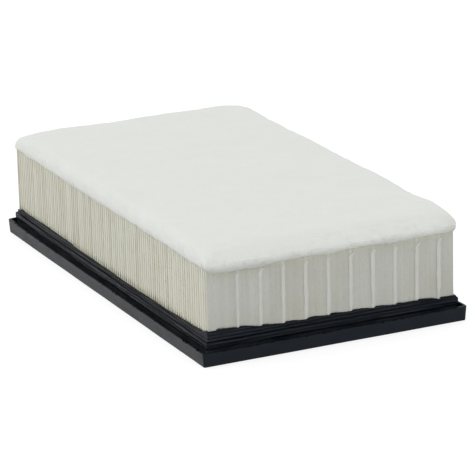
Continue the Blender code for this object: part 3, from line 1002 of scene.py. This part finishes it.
def sculpt_felt(pad):
    """Drooping corners, low waves on top, and the wandering cut edge."""
    place = read_array(pad.data.vertices, "co")
    x, y, z = place.T
    flat = place[:, :2].copy()
    out = np.abs(flat) - PACK_SIDES
    share_up = smooth_step(z, felt_low.z, felt_high.z - 1.5 * MM)
    plan_wave = waves(flat, 0.32, 34, seed=71) + waves(place, 0.16, 9, seed=72)
    outward = np.sign(flat) * smooth_step(out, -6 * MM, 0.0) * (z > pack_high.z + 0.5 * MM)[:, None]
    # The far left corner stands out, and the left side wanders less than the others.
    far_left = smooth_step(-flat - PACK_SIDES, -12 * MM, 0.0).prod(axis=1)
    calm = 1 - 0.6 * smooth_step(-y, HALF_WIDTH - 8 * MM, HALF_WIDTH)
    place[:, :2] += outward * (plan_wave * calm + 0.7 * MM * far_left)[:, None]
    rise = waves(flat, 0.22, 60, seed=73) + waves(place, 0.10, 13, seed=74)
    corner = smooth_step(out, -18 * MM, 2 * MM).prod(axis=1)
    droop = CORNER_DROOPS[(x > 0).astype(int), (y > 0).astype(int)]
    dip = 0.6 * MM * bell(x - 83 * MM, 16 * MM) + 0.8 * MM * bell(x - 100 * MM, 12 * MM)
    dip *= smooth_step(y, 60 * MM, HALF_WIDTH)
    place[:, 2] += share_up * (rise - corner * droop - dip)
    place[:, 2] = np.minimum(place[:, 2], felt_high.z + 0.2 * MM)
    set_vertices(pad, place)


def build_felt(material):
    """The lofted felt pad over the upper folds."""
    pad = felt_blank()
    swell_felt(pad)
    even = pad.modifiers.new("even", "SMOOTH")
    even.factor = 0.5
    even.iterations = 3
    if pad.vertex_groups:
        even.vertex_group = "held"
        even.invert_vertex_group = True
    finer = pad.modifiers.new("finer", "SUBSURF")
    finer.levels = finer.render_levels = 1
    apply_modifiers(pad)
    sculpt_felt(pad)
    pad.data.shade_smooth()
    pad.data.materials.append(material)
    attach(pad, "root")
    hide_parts("prefilter_felt")
    return pad


FIBRE_COUNT = 4200
FIBRE_RADIUS = 0.045 * MM
FIBRE_RINGS = 5
FIBRE_SINK = 0.06 * MM  # how far a fibre's root lies under the felt's surface
FIBRE_TURNS = [0, 2 * math.pi / 3, 4 * math.pi / 3]


def build_fibres(pad, material):
    """Loose fibres that lie along the felt's rim and blur its outline."""
    rng = np.random.default_rng(91)
    faces = pad.data.polygons
    centres = read_array(faces, "center")
    normals = read_array(faces, "normal")
    out = (np.abs(centres[:, :2]) - PACK_SIDES).max(axis=1)
    height = centres[:, 2]
    weight = read_array(faces, "area", 1)[:, 0] * (out > -1.5 * MM) * (height < felt_high.z - 1.5 * MM)
    weight = weight * np.where(height < felt_low.z + 1.2 * MM, 3.0, 1.0)
    weight = weight * ((normals[:, 2] > -0.6) & (height > pack_high.z - 6 * MM))
    picked = rng.choice(len(faces), FIBRE_COUNT, p=weight / weight.sum())
    normal = normals[picked]
    start = centres[picked] + rng.normal(0, 0.5 * MM, (FIBRE_COUNT, 3))
    start -= normal * np.sum((start - centres[picked]) * normal, axis=1, keepdims=True)
    start -= normal * FIBRE_SINK

    along = np.cross(normal, rng.normal(size=(FIBRE_COUNT, 3)))
    along /= np.linalg.norm(along, axis=1, keepdims=True)
    along += normal * rng.uniform(0.0, 0.30, (FIBRE_COUNT, 1))
    bend = np.cross(along, normal) * rng.normal(0, 0.5, (FIBRE_COUNT, 1)) - normal * 0.25
    length = rng.uniform(1.2, 3.4, (FIBRE_COUNT, 1)) * MM
    wide = np.cross(along, normal)
    wide /= np.linalg.norm(wide, axis=1, keepdims=True)
    rings = []
    for share in np.linspace(0, 1, FIBRE_RINGS):
        middle = start + along * length * share + bend * length * share ** 2 * 0.5
        radius = FIBRE_RADIUS * (1 - 0.5 * share)
        rings += [middle + radius * (wide * math.cos(turn) + normal * math.sin(turn)) for turn in FIBRE_TURNS]
    vertices = np.stack(rings, axis=1)
    firsts = np.arange(FIBRE_COUNT)[:, None, None] * len(rings)
    faces = (grid_faces(FIBRE_RINGS, 3, wrap_columns=True)[None] + firsts).reshape(-1, 4)
    mesh = bpy.data.meshes.new("felt_loose_fibres")
    mesh.from_pydata(vertices.reshape(-1, 3).tolist(), [], faces.tolist())
    mesh.shade_smooth()
    mesh.materials.append(material)
    fibres = add_object("felt_loose_fibres", mesh)
    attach(fibres, "root")


# --- Surroundings ---

FLOOR_REACH = 8.0
FLOOR_GLOW = 0.77
SKY_LEVEL = 0.86
SKY_SLOPE = 0.12
KEY_PLACE = (-0.3, -0.9, 2.0)
KEY_TARGET = (0, 0, 0.03)
KEY_SIZE = 1.6
KEY_POWER = 6.0


def build_floor():
    """A wide plain floor that glows a little, like a light table, just under the frame."""
    mesh = bpy.data.meshes.new("floor")
    signs = [(-1, -1), (1, -1), (1, 1), (-1, 1)]
    mesh.from_pydata([(FLOOR_REACH * a, FLOOR_REACH * b, 0.0) for a, b in signs], [], [(0, 1, 2, 3)])
    floor = add_object("floor", mesh)
    floor.location.z = frame_low.z - 0.05 * MM
    white = Paint("floor_white", (0.30, 0.30, 0.30), {
        "Roughness": 0.9, "Emission Color": (1.0, 1.0, 1.0, 1.0), "Emission Strength": FLOOR_GLOW,
    })
    mesh.materials.append(white.material)


def build_lights():
    """A white tent that is dimmer on the side of the front short face, and a soft key light."""
    world = bpy.data.worlds.new("studio")
    world.use_nodes = True
    sky = Nodes(world.node_tree, "Generated")
    sky.fill(world.node_tree.nodes["Background"], {
        "Color": (1.0, 1.0, 1.0, 1.0),
        "Strength": sky.calculate("MULTIPLY_ADD", sky.axis("X"), -SKY_SLOPE, SKY_LEVEL),
    })
    bpy.context.scene.world = world
    data = bpy.data.lights.new("key", "AREA")
    data.shape = "SQUARE"
    data.size = KEY_SIZE
    data.energy = KEY_POWER
    key = add_object("key", data)
    key.location = KEY_PLACE
    key.rotation_euler = (Vector(KEY_TARGET) - Vector(KEY_PLACE)).to_track_quat("-Z", "Y").to_euler()
    bpy.context.scene.view_settings.view_transform = "Standard"


def main():
    make_camera()
    build_seal_frame(seal_material())
    build_folded_paper(pleat_material())
    panels = end_panel_material()
    build_end_panel("front_end_panel", 1, panels)
    build_end_panel("rear_end_panel", -1, panels)
    end_glue = glue_material("yellowed_hot_melt", (0.550, 0.546, 0.472), (0.582, 0.582, 0.520))
    bead_glue = glue_material("ivory_hot_melt", (0.540, 0.544, 0.500), (0.568, 0.573, 0.532))
    build_end_glue("left_pleat_end_glue", "edge_bond_left", -1, end_glue)
    build_end_glue("right_pleat_end_glue", "edge_bond_right", 1, end_glue)
    for number, (top, bottom, y_bead) in enumerate(zip(TOP_BEADS, BOTTOM_BEADS, BEAD_YS), start=1):
        build_top_bead(number, top, y_bead, bead_glue)
        build_bottom_bead(number, bottom, y_bead, bead_glue)
    felt = felt_material()
    build_fibres(build_felt(felt), felt)
    build_floor()
    build_lights()


main()
